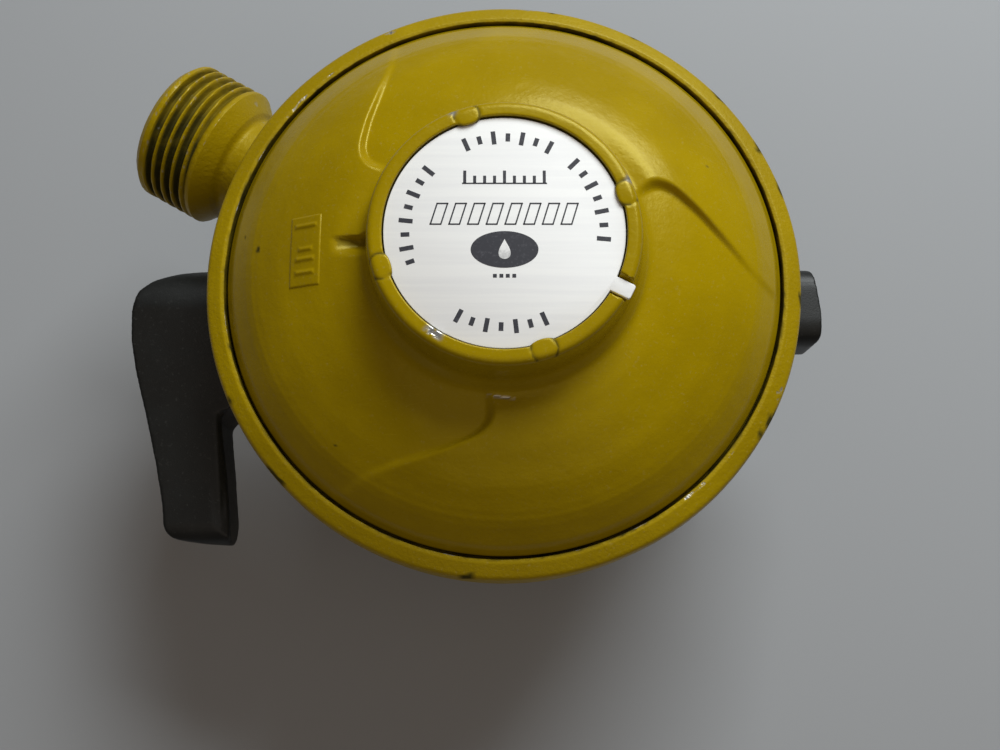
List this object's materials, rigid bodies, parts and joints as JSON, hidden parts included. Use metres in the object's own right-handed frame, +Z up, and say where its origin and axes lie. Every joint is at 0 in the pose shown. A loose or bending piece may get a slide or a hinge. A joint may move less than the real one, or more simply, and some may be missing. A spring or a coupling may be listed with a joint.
{
  "type": "clip-on propane regulator",
  "caption": "Clip-on propane regulator with a round yellow bonnet, threaded outlet, black tap lever and release button.",
  "frame": {"origin": "centre of the cylinder valve's socket at the base plane, on the body's axis", "axes": "+Z up along the body's axis, towards the label; +X towards the release button; the tap lever is at -X"},
  "size_m": [0.0939, 0.0748, 0.07],
  "materials": {
    "paint": "gloss",
    "label": "satin",
    "plastic": "satin",
    "steel": "satin",
    "brass": "satin",
    "rubber": "matte"
  },
  "bodies": {
    "body": {"lower_body": "paint", "bonnet": "paint", "label_disc": "label", "adjusting_screw": "brass", "main_spring": "steel", "diaphragm": "rubber", "rocker_pin": "steel", "nozzle": "brass", "spindle_gland": "brass", "pusher_guide": "brass", "pusher_spring": "steel", "socket_housing": "plastic", "base_cover": "plastic", "inlet_seal": "rubber", "latch_spring": "steel", "socket_screw_1": "steel", "socket_screw_2": "steel", "socket_screw_3": "steel", "socket_screw_4": "steel"},
    "tap": {"tap_lever": "plastic", "lever_screw": "steel", "spindle": "steel", "spindle_o_ring": "rubber"},
    "pusher": {"pusher_pin": "steel"},
    "latch": {"latch_plate": "steel", "release_button": "plastic"},
    "diaphragm_group": {"diaphragm_plate": "steel", "diaphragm_stem": "brass"},
    "rocker_group": {"rocker": "steel", "seat_pad": "rubber"}
  },
  "joints": [
    {"name": "tap_turn", "type": "hinge", "parent": "body", "child": "tap", "pos_m": [-0.02, 0, 0.034], "axis": [1, 0, 0], "range_deg": [0, 90]},
    {"name": "pusher_slide", "type": "slide", "parent": "body", "child": "pusher", "axis": [0, 0, -1], "range_m": [0, 0.0026], "deforming": ["pusher_spring"]},
    {"name": "button_press", "type": "slide", "parent": "body", "child": "latch", "axis": [-1, 0, 0], "range_m": [0, 0.003], "stiffness_N_per_m": 400, "springref_m": -0.002, "deforming": ["latch_spring"]},
    {"name": "diaphragm_lift", "type": "slide", "parent": "body", "child": "diaphragm_group", "axis": [0, 0, 1], "range_m": [0, 0.0012], "deforming": ["diaphragm", "main_spring"]},
    {"name": "rocker_turn", "type": "hinge", "parent": "body", "child": "rocker_group", "pos_m": [0.012, 0, 0.0445], "axis": [0, 1, 0], "range_deg": [0, 5.8]}
  ],
  "couplings": [
    {"joint": "pusher_slide", "follows": "tap_turn", "m_per_rad": 0.0015279},
    {"joint": "rocker_turn", "follows": "diaphragm_lift", "rad_per_m": 83.333}
  ]
}
